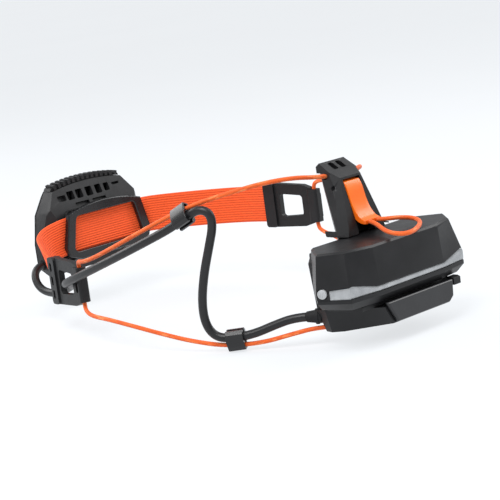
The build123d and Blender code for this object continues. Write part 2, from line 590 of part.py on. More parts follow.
# gauge button: small ribbed round cap at the left end of the strip
with BuildPart() as gauge_button:
    with BuildSketch(Plane(origin=GAUGE - GAUGE_N * 3.0, x_dir=(0, 0, 1), z_dir=GAUGE_N)):
        Circle(2.15)
    extrude(amount=3.6)
    with BuildSketch(Plane(origin=GAUGE + GAUGE_N * 0.5, x_dir=(0, 0, 1), z_dir=GAUGE_N)):
        for k in range(5):
            with Locations((0, -1.6 + 0.8 * k)):
                Rectangle(2.4, 0.4)
    extrude(amount=0.4)
save(gauge_button, "gauge_button")

with BuildPart() as usb_socket:
    with BuildSketch(Plane(origin=PORT - PORT_N * 1.5, x_dir=PORT_T, z_dir=PORT_N)):
        RectangleRounded(3.4, 9.2, 1.5)
        RectangleRounded(2.4, 8.2, 1.1, mode=Mode.SUBTRACT)
    extrude(amount=-5.2)
    with BuildSketch(Plane(origin=PORT - PORT_N * 2.1, x_dir=PORT_T, z_dir=PORT_N)):
        Rectangle(0.8, 6.4)
    extrude(amount=-4.8)
    with BuildSketch(Plane(origin=PORT - PORT_N * 6.5, x_dir=PORT_T, z_dir=PORT_N)):
        RectangleRounded(3.4, 9.2, 1.5)
    extrude(amount=-0.5)
save(usb_socket, "usb_socket")

# rubber cover of the charging port, hinged along its lower edge
with BuildPart() as usb_cover:
    with BuildSketch(Plane(origin=PORT - PORT_N * 0.9, x_dir=PORT_T, z_dir=PORT_N)):
        RectangleRounded(6.6, 11.8, 1.1)
    extrude(amount=1.2)
save(usb_cover, "usb_cover")

with BuildPart() as battery_contact_pads:
    for lx in (-10, 0, 10):
        with BuildSketch(Plane(origin=(lx, 99.98, -12.0), x_dir=(-1, 0, 0), z_dir=(0, 1, 0))):
            Rectangle(5.0, 3.0)
        extrude(amount=0.8)
save(battery_contact_pads, "battery_contact_pads")

with BuildPart() as battery_screws:
    for sx in (-1, 1):
        with BuildSketch(Plane.XY.offset(BAT_BOT - 0.05)):
            with Locations((sx * 30, 108)):
                Circle(1.5)
        extrude(amount=1.5)
save(battery_screws, "battery_screws")

# ================================================================ REAR CRADLE
PIVOT_Y, PIVOT_Z = 95.6, 27.2      # lock lever pin, along X

with BuildPart() as cradle_plate:
    with BuildSketch(Plane(origin=(0, 96.4, 0), x_dir=(-1, 0, 0), z_dir=(0, 1, 0))):
        with BuildLine():
            Polyline((-33, -3.0), (-30, 2.4), (30, 2.4), (33, -3.0), (31, -24.0), (-31, -24.0), close=True)
        make_face()
    extrude(amount=3.3)
    # shelf under the battery
    with BuildSketch(Plane.XY.offset(-24.6)):
        with BuildLine():
            Polyline((-31, 96.4), (31, 96.4), (34, 108), (30, 124.2), (-30, 124.2), (-34, 108), close=True)
        make_face()
    extrude(amount=2.2)
    # window that saves weight behind the cell
    with BuildSketch(Plane(origin=(0, 96.0, -9.6), x_dir=(-1, 0, 0), z_dir=(0, 1, 0))):
        with Locations((-22, 2.0), (22, 2.0)):
            RectangleRounded(11, 11, 2)
    extrude(amount=5, mode=Mode.SUBTRACT)
    # three contact pin bores
    with BuildSketch(Plane(origin=(0, 96.0, -12.0), x_dir=(-1, 0, 0), z_dir=(0, 1, 0))):
        with Locations((-10, 0), (0, 0), (10, 0)):
            Circle(1.3)
    extrude(amount=5, mode=Mode.SUBTRACT)
save(cradle_plate, "cradle_plate")

with BuildPart() as contact_pins:
    for lx in (-10, 0, 10):
        with BuildSketch(Plane(origin=(lx, 96.6, -12.0), x_dir=(-1, 0, 0), z_dir=(0, 1, 0))):
            Circle(1.25)
        extrude(amount=3.2)
save(contact_pins, "contact_pins")

with BuildPart() as cradle_pad:
    with BuildSketch(Plane(origin=(0, 93.4, -8.0), x_dir=(-1, 0, 0), z_dir=(0, 1, 0))):
        RectangleRounded(60, 18, 5)
    extrude(amount=2.9)
    fillet(cradle_pad.faces().sort_by(Axis.Y)[0].edges(), 1.2)
save(cradle_pad, "cradle_pad")

GLAND = Vector(28.6, 98.7, -28.6)                 # cable entry at the housing's front face
GLAND_DIR = Vector(-0.52, 0.854, 0).normalized()
CORD_END_Z = -33.7

# plug housing hanging below the shelf, tapering towards the rear
with BuildPart() as plug_housing:
    with BuildSketch(Plane.XY.offset(-24.7)) as h0:
        with BuildLine():
            Polyline((-33, 98), (33, 98), (33.5, 104), (19.5, 128.2), (-27.5, 128.2), (-33.5, 104), close=True)
        make_face()
    with BuildSketch(Plane.XY.offset(-35.6)) as h1:
        with BuildLine():
            Polyline((-30, 100), (30, 100), (30.6, 104), (14.0, 128.6), (-21.5, 128.6), (-30.6, 104), close=True)
        make_face()
    loft(ruled=True)
    with BuildSketch(Plane.XY.offset(-31.8)):
        with BuildLine():
            Polyline((-27, 103), (27, 103), (12.5, 126.0), (-19.5, 126.0), close=True)
        make_face()
    extrude(amount=7.0, mode=Mode.SUBTRACT)
    # underside rises towards the label
    with BuildSketch(Plane(origin=(-40, 0, 0), x_dir=(0, 1, 0), z_dir=(1, 0, 0))):
        with BuildLine():
            Polyline((108, -35.7), (140, -31.9), (140, -40), (108, -40), close=True)
        make_face()
    extrude(amount=80, mode=Mode.SUBTRACT)
    # cable bore on the left and a cord hole on each side
    with BuildSketch(Plane(origin=GLAND - GLAND_DIR * 3, z_dir=GLAND_DIR)):
        Circle(3.0)
    extrude(amount=13, mode=Mode.SUBTRACT)
    for sx in (-1, 1):
        with BuildSketch(Plane(origin=(sx * 29.1, 98.75, CORD_END_Z), x_dir=(0, 0, 1), z_dir=(-sx * 0.52, 0.854, 0))):
            Circle(CORD_D / 2 + 0.35)
        extrude(amount=10.5, mode=Mode.SUBTRACT)
save(plug_housing, "plug_housing")

with BuildPart() as plug_board:
    with BuildSketch(Plane.XY.offset(-29.5)):
        with BuildLine():
            Polyline((-20, 107), (20, 107), (10.5, 124.0), (-17, 124.0), close=True)
        make_face()
    extrude(amount=1.4)
save(plug_board, "plug_board")

# rear panel of the plug housing
with BuildPart() as label_panel:
    with BuildSketch(Plane(origin=(0, 128.7, 0), x_dir=(-1, 0, 0), z_dir=(0, 1, 0))):
        with BuildLine():
            Polyline((-19.4, -22.6), (26.4, -22.6), (25.8, -30.4), (22.7, -32.8), (-13.6, -32.8), close=True)
        make_face()
    extrude(amount=1.8)
    chamfer(label_panel.faces().sort_by(Axis.Y)[-1].edges(), 0.6)
save(label_panel, "label_panel")

with BuildPart() as cable_gland:
    with BuildSketch(Plane(origin=GLAND - GLAND_DIR * 8.6, z_dir=GLAND_DIR)) as b0:
        Circle(2.5)
    with BuildSketch(Plane(origin=GLAND - GLAND_DIR * 2.8, z_dir=GLAND_DIR)) as b1:
        Circle(3.3)
    loft(sections=[b0.sketch.faces()[0], b1.sketch.faces()[0]])
    with BuildSketch(Plane(origin=GLAND - GLAND_DIR * 4.2, z_dir=GLAND_DIR)):
        Circle(3.7)
    extrude(amount=1.4)
    with BuildSketch(Plane(origin=GLAND - GLAND_DIR * 2.9, z_dir=GLAND_DIR)):
        Circle(2.9)
    extrude(amount=9.0)
save(cable_gland, "cable_gland")

# spring latch that holds the battery, at the right of its lower rim
with BuildPart() as battery_latch:
    with BuildSketch(Plane(origin=(-33.6, 0, 0), x_dir=(0, 1, 0), z_dir=(1, 0, 0))):
        with BuildLine():
            Polyline((124.6, -24.9), (124.6, -22.4), (127.4, -22.4), (128.8, -23.0), (128.8, -26.2), (127.4, -26.2), (126.8, -24.9), close=True)
        make_face()
    extrude(amount=4.9)
save(battery_latch, "battery_latch")

# lock tower: two arms and a sloping roof, with the pocket of the lever between
with BuildPart() as lock_tower:
    with BuildSketch(Plane(origin=(-15.5, 0, 0), x_dir=(0, 1, 0), z_dir=(1, 0, 0))):
        with BuildLine():
            Polyline((94.0, 2.7), (99.7, 2.7), (99.7, 5.1), (104.4, 5.1), (104.0, 9.0), (97.8, 31.6), (86.6, 38.6), (84.6, 37.0), (86.6, 24), (91.6, 8), close=True)
        make_face()
    extrude(amount=31)
    # arms lean in towards the roof
    for sx in (-1, 1):
        with BuildSketch(Plane(origin=(0, 80, 0), x_dir=(1, 0, 0), z_dir=(0, 1, 0))):
            with BuildLine():
                Polyline((sx * 15.5, -6.0), (sx * 11.4, -20.0), (sx * 9.2, -33.0), (sx * 8.0, -42.0), (sx * 30, -42.0), (sx * 30, -6.0), close=True)
            make_face()
        extrude(amount=30, mode=Mode.SUBTRACT)
    for sx in (-1, 1):
        loft(sections=[poly(4.0, [(sx * 15.9, 100.4), (sx * 15.9, 106.5), (sx * 11.6, 106.5)]),
                       poly(34.0, [(sx * 9.3, 92.6), (sx * 9.3, 98.9), (sx * 5.2, 98.9)])], ruled=True, mode=Mode.SUBTRACT)
    for sx in (-1, 1):
        loft(sections=[poly(1.0, [(sx * 16.4, 102.0), (sx * 16.4, 86.0), (sx * 2.6, 86.0)]),
                       poly(34.0, [(sx * 9.4, 88.0), (sx * 9.4, 78.0), (sx * 0.8, 78.0)])], ruled=True, mode=Mode.SUBTRACT)
    with BuildSketch(Plane(origin=(-5.7, 0, 0), x_dir=(0, 1, 0), z_dir=(1, 0, 0))):
        with BuildLine():
            Polyline((96.6, 0), (96.6, 6.0), (91.4, 22.0), (90.6, 30.6), (112, 30.6), (112, 0), close=True)
        make_face()
    extrude(amount=11.4, mode=Mode.SUBTRACT)
    # pin bores and cord holes
    with BuildSketch(Plane(origin=(-14, PIVOT_Y, PIVOT_Z), x_dir=(0, 1, 0), z_dir=(1, 0, 0))):
        Circle(1.05)
    extrude(amount=28, mode=Mode.SUBTRACT)
    with BuildSketch(Plane(origin=(-14, 90.6, 32.4), x_dir=(0, 1, 0), z_dir=(1, 0, 0))):
        Circle(CORD_D / 2 + 0.35)
    extrude(amount=28, mode=Mode.SUBTRACT)
    with BuildSketch(Plane(origin=(0, 90.4, 37.2), x_dir=(1, 0, 0), z_dir=(0, 0.53, 0.848))):
        with Locations((-2.6, 0), (2.6, 0)):
            RectangleRounded(3.2, 5.4, 1.0)
    extrude(amount=-3.0, both=True, mode=Mode.SUBTRACT)
save(lock_tower, "lock_tower")

with BuildPart() as lever_pin:
    with BuildSketch(Plane(origin=(-8.6, PIVOT_Y, PIVOT_Z), x_dir=(0, 1, 0), z_dir=(1, 0, 0))):
        Circle(1.0)
    extrude(amount=17.2)
save(lever_pin, "lever_pin")

# orange lock lever, S shaped in side view
with BuildPart() as lock_lever:
    with BuildSketch(Plane(origin=(-5.2, 0, 0), x_dir=(0, 1, 0), z_dir=(1, 0, 0))):
        with BuildLine():
            Spline((98.2, 29.2), (99.9, 26.0), (101.1, 21.6), (103.0, 16.4), (106.0, 12.6), (108.9, 11.4))
            Line((108.9, 11.4), (108.9, 9.6))
            Spline((108.9, 9.6), (104.6, 10.4), (101.0, 13.6), (98.6, 18.4), (97.2, 23.4))
            Polyline((97.2, 23.4), (94.2, 24.4), (92.9, 26.6), (93.2, 29.0), (95.2, 30.0), (98.2, 29.2))
        make_face()
    extrude(amount=10.4)
    with BuildSketch(Plane(origin=(-6, PIVOT_Y, PIVOT_Z), x_dir=(0, 1, 0), z_dir=(1, 0, 0))):
        Circle(1.05)
    extrude(amount=12, mode=Mode.SUBTRACT)
save(lock_lever, "lock_lever")

with BuildPart() as lever_spring:
    with BuildSketch(Plane(origin=(-3.5, 0, 0), x_dir=(0, 1, 0), z_dir=(1, 0, 0))):
        with BuildLine():
            Polyline((92.6, 21.6), (93.0, 21.2), (95.2, 12.8), (96.4, 12.2), (97.2, 12.9), (96.8, 13.3), (96.3, 12.9), (95.7, 13.1), (93.4, 21.8), close=True)
        make_face()
    extrude(amount=7)
save(lever_spring, "lever_spring")



# ================================================================ CABLE, CORDS, CLIPS
# lamp cable: from the lamp's side on the tilt axis, through the left connector's window,
# along the upper cord, down behind the ear and into the gland
cable_pts = [
    (38.8, TILT_Y, TILT_Z), (43.2, -103.9, -14.6), (47.0, -101.4, -19.4), (48.4, -95.2, -24.4), (48.2, -86.6, -26.2),
    (48.4, -77.6, -25.0), (49.6, -69.0, -22.0), (51.6, -61.4, -19.2), (56.4, -54.2, -16.8), (66.4, -47.0, -14.2),
    (71.0, -39.4, -11.6), (74.0, -24.0, -6.6), (74.6, -6.0, -0.4), (73.4, 12.0, 6.2), (70.0, 28.6, 12.8), (65.2, 41.2, 18.4),
    (61.7, 50.2, 23.8), (59.5, 56.7, 26.8), (57.1, 61.0, 24.8), (56.3, 61.2, 18.6), (57.4, 57.8, 8.8),
    (59.4, 53.8, -4.0), (60.8, 51.0, -17.6), (60.9, 51.4, -28.2), (58.8, 55.0, -34.6), (54.6, 61.6, -35.8), (48.4, 70.4, -34.6),
    (41.8, 78.6, -31.2), (36.6, 85.6, -28.8), (33.07, 91.36, -28.6),
]
# adjusting cords: tower hole, round the head, down through the connector's channel, back to the plug housing
cord_left_pts = [
    (5.9, 90.6, 32.4), (15.0, 90.4, 33.4), (26.0, 87.0, 35.4), (38.0, 79.0, 35.2), (49.0, 67.4, 32.6), (58.4, 53.0, 28.8),
    (65.0, 37.4, 22.8), (69.6, 20.0, 15.4), (71.6, 2.0, 8.2), (71.4, -14.0, 2.4), (69.8, -25.0, -0.4),
    (67.2, -31.6, -1.0), (64.44, -35.85, -3.3), (65.07, -34.98, -24.3), (66.6, -32.4, -27.0), (68.8, -25.0, -28.4),
    (70.6, -10.0, -28.4), (70.3, 8.0, -30.2), (67.6, 25.0, -33.2), (62.8, 42.0, -36.8), (56.4, 58.6, -39.3),
    (46.6, 73.2, -39.1), (38.4, 85.4, -36.0), (31.0, 95.7, -33.7), (24.9, 105.7, -33.7),
]
cord_right_pts = [
    (-5.9, 90.6, 32.4), (-13.0, 90.0, 32.2), (-27.0, 79.0, 30.4), (-42.0, 64.0, 26.6), (-55.0, 46.0, 21.6), (-64.4, 27.0, 17.0),
    (-68.9, 12.0, 14.0), (-69.9, 4.6, 12.9), (-69.65, 1.32, 10.4), (-69.65, 1.32, -11.6), (-69.5, 4.2, -14.4), (-68.4, 14.0, -16.4),
    (-62.4, 34.0, -21.0), (-53.0, 56.0, -27.0), (-42.0, 77.0, -32.2), (-31.0, 95.7, CORD_END_Z), (-24.9, 105.7, CORD_END_Z),
]
loop_pts = [
    (-2.3, 109.15, 10.5), (-4.5, 113.0, 10.4), (-9.5, 114.4, 9.9), (-14.5, 114.8, 9.0), (-18.4, 117.2, 8.0),
    (-17.0, 122.4, 7.2), (-9.5, 128.8, 7.0), (0.6, 134.4, 7.0), (6.6, 135.4, 7.0), (8.9, 131.4, 7.0),
    (7.6, 124.4, 7.3), (5.0, 118.2, 8.4), (2.9, 113.2, 9.8), (2.3, 109.15, 10.5),
]


def tube(pts, dia, name):
    with BuildPart() as c:
        with BuildLine() as ln:
            tube_line(pts)
        w = ln.wires()[0]
        with BuildSketch(Plane(origin=w @ 0, z_dir=w % 0)) as sk:
            Circle(dia / 2)
        sweep(sections=sk.sketch, path=w)
    print(name, "length", round(w.length, 1), "volume / (section x length)", round(c.part.volume / (math.pi * (dia / 2) ** 2 * w.length), 4),
          "valid", c.part.is_valid if isinstance(c.part.is_valid, bool) else c.part.is_valid(), "radii", [round(r, 1) for r in smooth_radii(pts)])
    save(c, name)
    return c


lamp_cable = tube(cable_pts, CABLE_D, "lamp_cable")
cord_left = tube(cord_left_pts, CORD_D, "cord_left")
cord_right = tube(cord_right_pts, CORD_D, "cord_right")
pull_loop = tube(loop_pts, CORD_D, "pull_loop")


# cable clips: a block with a bore for the cable and a smaller one for the cord
def clip(cable_c, cord_c, d):
    d = d.normalized()
    up = cord_c - cable_c
    up = (up - d * up.dot(d))
    h = up.length
    pl = Plane(origin=cable_c - d * 4.2, x_dir=up.normalized(), z_dir=d)
    with BuildSketch(pl) as sk:
        with BuildLine():
            Polyline((-3.6, -2.4), (-2.2, -3.9), (1.4, -3.9), (h + 0.4, -2.7), (h + 2.3, -1.6), (h + 2.3, 1.6), (h + 0.4, 2.7), (1.4, 3.9),
                     (-2.2, 3.9), (-3.6, 2.4), close=True)
        make_face()
        Circle(CABLE_D / 2 + 0.35, mode=Mode.SUBTRACT)
        with Locations((h, 0)):
            Circle(CORD_D / 2 + 0.55, mode=Mode.SUBTRACT)
        # snap slot that lets the cable in
        with Locations((-3.4, 0)):
            Rectangle(3.4, 2.2, mode=Mode.SUBTRACT)
    extrude(to_extrude=sk.sketch, amount=8.4)


with BuildPart() as clip_upper:
    clip(Vector(62.6, 48.0, 22.4), Vector(61.3, 46.2, 26.3), Vector(-0.34, 0.81, 0.475))
save(clip_upper, "clip_upper")
with BuildPart() as clip_lower:
    clip(Vector(53.5, 63.2, -35.4), Vector(53.4, 63.1, -39.2), Vector(-0.57, 0.815, 0.06))
save(clip_lower, "clip_lower")
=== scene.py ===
"""Looks of the headlamp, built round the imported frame. Everything is in metres, in the frame's own axes."""

import math

import bpy
from mathutils import Matrix, Vector


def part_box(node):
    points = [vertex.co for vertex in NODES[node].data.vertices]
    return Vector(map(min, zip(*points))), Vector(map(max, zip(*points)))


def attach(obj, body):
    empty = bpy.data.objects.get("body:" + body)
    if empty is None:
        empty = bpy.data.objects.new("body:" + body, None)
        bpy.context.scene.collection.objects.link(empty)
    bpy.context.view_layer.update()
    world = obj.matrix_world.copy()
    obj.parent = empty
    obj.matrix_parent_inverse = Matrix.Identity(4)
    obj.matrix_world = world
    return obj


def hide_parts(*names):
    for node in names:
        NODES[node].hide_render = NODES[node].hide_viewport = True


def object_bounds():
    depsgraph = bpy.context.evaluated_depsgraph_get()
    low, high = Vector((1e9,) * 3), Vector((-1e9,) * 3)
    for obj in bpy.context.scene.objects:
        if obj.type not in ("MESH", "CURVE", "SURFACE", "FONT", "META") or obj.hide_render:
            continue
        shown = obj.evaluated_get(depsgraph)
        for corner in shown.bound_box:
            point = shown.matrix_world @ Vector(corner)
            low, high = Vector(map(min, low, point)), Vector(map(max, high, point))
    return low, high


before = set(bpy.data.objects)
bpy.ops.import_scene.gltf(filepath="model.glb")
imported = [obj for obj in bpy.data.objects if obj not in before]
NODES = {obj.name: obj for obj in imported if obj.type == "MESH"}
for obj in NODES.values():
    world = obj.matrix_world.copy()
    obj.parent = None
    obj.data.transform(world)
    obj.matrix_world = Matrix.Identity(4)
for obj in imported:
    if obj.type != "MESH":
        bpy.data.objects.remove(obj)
cad_lo, cad_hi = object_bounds()
MM = 0.001

# ---------------------------------------------------------------- camera
cam_data = bpy.data.cameras.new("camera")
cam = bpy.data.objects.new("camera", cam_data)
bpy.context.scene.collection.objects.link(cam)
r = Vector((-0.7193398, 0.6818956, -0.1325471))
u = Vector((-0.2261587, -0.0494779, 0.9728332))
t = Vector((0.6568124, 0.7297743, 0.1898080))
cam.matrix_world = Matrix(((r.x, u.x, t.x, 0.54889), (r.y, u.y, t.y, 0.63161), (r.z, u.z, t.z, 0.15054), (0, 0, 0, 1)))
cam_data.sensor_width = 36.0
cam_data.lens = 119.52
cam_data.clip_start, cam_data.clip_end = 0.01, 100.0
cam_data.dof.use_dof = False
bpy.context.scene.camera = cam
bpy.context.scene.view_settings.view_transform = "Standard"


# ---------------------------------------------------------------- material kit
def new_mat(name):
    m = bpy.data.materials.new(name)
    m.use_nodes = True
    nt = m.node_tree
    return m, nt, nt.nodes["Principled BSDF"]


def node(nt, kind, **inputs):
    n = nt.nodes.new(kind)
    for k, v in inputs.items():
        n.inputs[k.replace("_", " ")].default_value = v
    return n


def coords(nt, kind="Object"):
    return nt.nodes.new("ShaderNodeTexCoord").outputs[kind]


def ramp(nt, fac, stops):
    cr = nt.nodes.new("ShaderNodeValToRGB")
    els = cr.color_ramp.elements
    els[0].position, els[0].color = stops[0][0], (*stops[0][1], 1)
    els[1].position, els[1].color = stops[-1][0], (*stops[-1][1], 1)
    for p, c in stops[1:-1]:
        e = els.new(p)
        e.color = (*c, 1)
    nt.links.new(fac, cr.inputs["Fac"])
    return cr.outputs["Color"]


def maprange(nt, fac, lo, hi):
    mr = nt.nodes.new("ShaderNodeMapRange")
    mr.inputs["To Min"].default_value, mr.inputs["To Max"].default_value = lo, hi
    nt.links.new(fac, mr.inputs["Value"])
    return mr.outputs["Result"]


def moulded(name, dark, light, rough=(0.36, 0.5), grain=2600.0, bump=0.10, spec=0.5, coat=0.0, metallic=0.0, blotch=90.0):
    """Moulded or machined surface: slow colour drift, fine grain in roughness and bump."""
    m, nt, b = new_mat(name)
    tc = coords(nt)
    slow = node(nt, "ShaderNodeTexNoise", Scale=blotch, Detail=3.0, Roughness=0.55)
    nt.links.new(tc, slow.inputs["Vector"])
    nt.links.new(ramp(nt, slow.outputs["Fac"], [(0.3, dark), (0.7, light)]), b.inputs["Base Color"])
    fine = node(nt, "ShaderNodeTexNoise", Scale=grain, Detail=4.0, Roughness=0.6)
    nt.links.new(tc, fine.inputs["Vector"])
    mid = node(nt, "ShaderNodeTexNoise", Scale=grain / 9, Detail=2.0)
    nt.links.new(tc, mid.inputs["Vector"])
    nt.links.new(maprange(nt, mid.outputs["Fac"], rough[0], rough[1]), b.inputs["Roughness"])
    if bump:
        bp = node(nt, "ShaderNodeBump", Strength=bump, Distance=0.0002)
        nt.links.new(fine.outputs["Fac"], bp.inputs["Height"])
        nt.links.new(bp.outputs["Normal"], b.inputs["Normal"])
    b.inputs["Metallic"].default_value = metallic
    b.inputs["Specular IOR Level"].default_value = spec
    b.inputs["Coat Weight"].default_value = coat
    b.inputs["Coat Roughness"].default_value = 0.12
    return m


def woven(name, base, rib, pale, ribs=15.0):
    """Elastic webbing: UV u runs along the strap in metres, v across it from 0 to 1."""
    m, nt, b = new_mat(name)
    uv = coords(nt, "UV")
    sep = nt.nodes.new("ShaderNodeSeparateXYZ")
    nt.links.new(uv, sep.inputs[0])
    # picks across the ribs
    wx = nt.nodes.new("ShaderNodeMath"); wx.operation = "MULTIPLY"; wx.inputs[1].default_value = 2 * math.pi / 0.00085
    nt.links.new(sep.outputs["X"], wx.inputs[0])
    sx = nt.nodes.new("ShaderNodeMath"); sx.operation = "SINE"
    nt.links.new(wx.outputs[0], sx.inputs[0])
    wy = nt.nodes.new("ShaderNodeMath"); wy.operation = "MULTIPLY"; wy.inputs[1].default_value = 2 * math.pi * ribs
    nt.links.new(sep.outputs["Y"], wy.inputs[0])
    sy = nt.nodes.new("ShaderNodeMath"); sy.operation = "COSINE"
    nt.links.new(wy.outputs[0], sy.inputs[0])
    rib01 = maprange(nt, sy.outputs[0], 0.0, 1.0)
    nt.links.new(sy.outputs[0], rib01.node.inputs["Value"])
    rib01.node.inputs["From Min"].default_value = -1.0
    # painted shade: the colour falls to the darker rib colour in the grooves between the ribs, where the strap's relief
    # and bump dip
    col = ramp(nt, rib01, [(0.0, rib), (0.45, base), (1.0, base)])
    noise = node(nt, "ShaderNodeTexNoise", Scale=420.0, Detail=5.0, Roughness=0.7)
    nt.links.new(coords(nt), noise.inputs["Vector"])
    mix = nt.nodes.new("ShaderNodeMix"); mix.data_type = "RGBA"
    nt.links.new(maprange(nt, noise.outputs["Fac"], 0.0, 0.25), mix.inputs["Factor"])
    nt.links.new(col, mix.inputs["A"])
    mix.inputs["B"].default_value = (*pale, 1)
    nt.links.new(mix.outputs["Result"], b.inputs["Base Color"])
    add = nt.nodes.new("ShaderNodeMath"); add.operation = "MULTIPLY_ADD"; add.inputs[1].default_value = 0.35
    nt.links.new(sx.outputs[0], add.inputs[0])
    nt.links.new(sy.outputs[0], add.inputs[2])
    bp = node(nt, "ShaderNodeBump", Strength=0.35, Distance=0.00025)
    nt.links.new(add.outputs[0], bp.inputs["Height"])
    nt.links.new(bp.outputs["Normal"], b.inputs["Normal"])
    nt.links.new(maprange(nt, noise.outputs["Fac"], 0.62, 0.85), b.inputs["Roughness"])
    b.inputs["Sheen Weight"].default_value = 0.1
    b.inputs["Sheen Roughness"].default_value = 0.45
    b.inputs["Specular IOR Level"].default_value = 0.25
    return m


def braided(name, base, dark, fleck):
    """Braided sleeve: UV u along the cord in units of the braid's pitch, v round it."""
    m, nt, b = new_mat(name)
    uv = coords(nt, "UV")
    vor = nt.nodes.new("ShaderNodeTexVoronoi")
    vor.inputs["Scale"].default_value = 1.0
    mp = nt.nodes.new("ShaderNodeMapping")
    mp.inputs["Scale"].default_value = (1.0, 8.0, 1.0)
    mp.inputs["Rotation"].default_value = (0, 0, 0.6)
    nt.links.new(uv, mp.inputs["Vector"])
    nt.links.new(mp.outputs[0], vor.inputs["Vector"])
    fac = nt.nodes.new("ShaderNodeSeparateColor")
    nt.links.new(vor.outputs["Color"], fac.inputs[0])
    col = ramp(nt, fac.outputs[0], [(0.0, dark), (0.3, base), (0.82, base), (0.93, fleck)])
    fine = node(nt, "ShaderNodeTexNoise", Scale=2400.0, Detail=4.0, Roughness=0.7)
    nt.links.new(coords(nt), fine.inputs["Vector"])
    mix = nt.nodes.new("ShaderNodeMix"); mix.data_type = "RGBA"; mix.blend_type = "MULTIPLY"
    mix.inputs["Factor"].default_value = 0.35
    nt.links.new(col, mix.inputs["A"])
    nt.links.new(ramp(nt, fine.outputs["Fac"], [(0.25, (0.55, 0.5, 0.5)), (0.7, (1, 1, 1))]), mix.inputs["B"])
    nt.links.new(mix.outputs["Result"], b.inputs["Base Color"])
    bp = node(nt, "ShaderNodeBump", Strength=0.25, Distance=0.0001)
    nt.links.new(fine.outputs["Fac"], bp.inputs["Height"])
    nt.links.new(bp.outputs["Normal"], b.inputs["Normal"])
    nt.links.new(maprange(nt, fine.outputs["Fac"], 0.5, 0.75), b.inputs["Roughness"])
    b.inputs["Sheen Weight"].default_value = 0.1
    b.inputs["Specular IOR Level"].default_value = 0.3
    return m


BLACK = moulded("black_satin", (0.006, 0.006, 0.0068), (0.010, 0.010, 0.0112), (0.34, 0.46), spec=0.35, bump=0.08)
BLACK_FINE = moulded("black_frame", (0.006, 0.006, 0.0066), (0.010, 0.010, 0.011), (0.40, 0.52), spec=0.35, grain=3200.0, bump=0.12)
BLACK_GLOSS = moulded("black_clip", (0.006, 0.006, 0.0066), (0.010, 0.010, 0.011), (0.20, 0.30), spec=0.4, bump=0.04, coat=0.15)
LAMP = moulded("lamp_grained", (0.008, 0.008, 0.0088), (0.014, 0.014, 0.0152), (0.48, 0.62), spec=0.38, grain=2000.0, bump=0.28)
ANOD = moulded("anodised", (0.020, 0.020, 0.022), (0.035, 0.035, 0.038), (0.34, 0.46), bump=0.06, metallic=0.7)
RUBBER = moulded("soft_rubber", (0.007, 0.007, 0.0077), (0.012, 0.012, 0.013), (0.6, 0.75), grain=1800.0, bump=0.2, spec=0.3)
CABLE = moulded("cable_jacket", (0.007, 0.007, 0.008), (0.012, 0.012, 0.0135), (0.32, 0.42), grain=3500.0, bump=0.05, spec=0.4)
ORANGE = moulded("lever_orange", (0.88, 0.135, 0.006), (0.94, 0.165, 0.008), (0.26, 0.34), bump=0.02, coat=0.2, spec=0.4)
STEEL = moulded("steel", (0.42, 0.42, 0.43), (0.55, 0.55, 0.56), (0.22, 0.34), bump=0.05, metallic=1.0)
SCREW = moulded("screw_black", (0.04, 0.04, 0.042), (0.07, 0.07, 0.072), (0.3, 0.42), bump=0.05, metallic=0.9)
BRASS = moulded("contact_gold", (0.72, 0.52, 0.20), (0.85, 0.64, 0.27), (0.18, 0.3), bump=0.03, metallic=1.0)
PCB = moulded("solder_mask", (0.01, 0.09, 0.045), (0.015, 0.13, 0.06), (0.3, 0.42), bump=0.08, coat=0.3)
LED = moulded("led_phosphor", (0.80, 0.66, 0.16), (0.88, 0.76, 0.24), (0.25, 0.35), bump=0.02)
LED_RED = moulded("led_red", (0.5, 0.02, 0.015), (0.62, 0.035, 0.02), (0.2, 0.3), bump=0.02)
CELL = moulded("cell_sleeve", (0.06, 0.16, 0.33), (0.08, 0.2, 0.4), (0.3, 0.4), bump=0.03)
SILVER = moulded("metallised", (0.80, 0.81, 0.82), (0.88, 0.89, 0.9), (0.06, 0.14), bump=0.0, metallic=1.0)
GREY = moulded("button_grey", (0.42, 0.43, 0.44), (0.50, 0.51, 0.52), (0.4, 0.5), bump=0.05)
SENSOR = moulded("sensor_window", (0.012, 0.008, 0.012), (0.02, 0.014, 0.02), (0.08, 0.14), bump=0.0, coat=0.5)
LABEL = moulded("label_field", (0.012, 0.012, 0.0135), (0.018, 0.018, 0.020), (0.26, 0.36), bump=0.05)
# the second colour is painted shade for the grooves between the webbing's ribs
STRAP = woven("elastic_webbing", (0.92, 0.105, 0.019), (0.62, 0.052, 0.011), (0.94, 0.15, 0.036))
CORD = braided("cord_braid", (0.82, 0.125, 0.016), (0.66, 0.090, 0.012), (0.92, 0.24, 0.07))

# clear ribbed strip: silvery
m, nt, b = new_mat("strip_clear")
tc = coords(nt)
nz = node(nt, "ShaderNodeTexNoise", Scale=160.0, Detail=3.0)
nt.links.new(tc, nz.inputs["Vector"])
nt.links.new(ramp(nt, nz.outputs["Fac"], [(0.3, (0.33, 0.34, 0.35)), (0.7, (0.50, 0.51, 0.52))]), b.inputs["Base Color"])
nt.links.new(maprange(nt, nz.outputs["Fac"], 0.14, 0.26), b.inputs["Roughness"])
b.inputs["Metallic"].default_value = 0.45
b.inputs["Specular IOR Level"].default_value = 0.7
b.inputs["Coat Weight"].default_value = 0.6
STRIP = m

# clear front lens
m, nt, b = new_mat("lens_clear")
nz = node(nt, "ShaderNodeTexNoise", Scale=60.0, Detail=2.0)
nt.links.new(coords(nt), nz.inputs["Vector"])
nt.links.new(ramp(nt, nz.outputs["Fac"], [(0.3, (0.90, 0.93, 0.95)), (0.7, (0.96, 0.98, 0.99))]), b.inputs["Base Color"])
nt.links.new(maprange(nt, nz.outputs["Fac"], 0.03, 0.07), b.inputs["Roughness"])
b.inputs["Transmission Weight"].default_value = 0.92
b.inputs["IOR"].default_value = 1.5
LENS = m


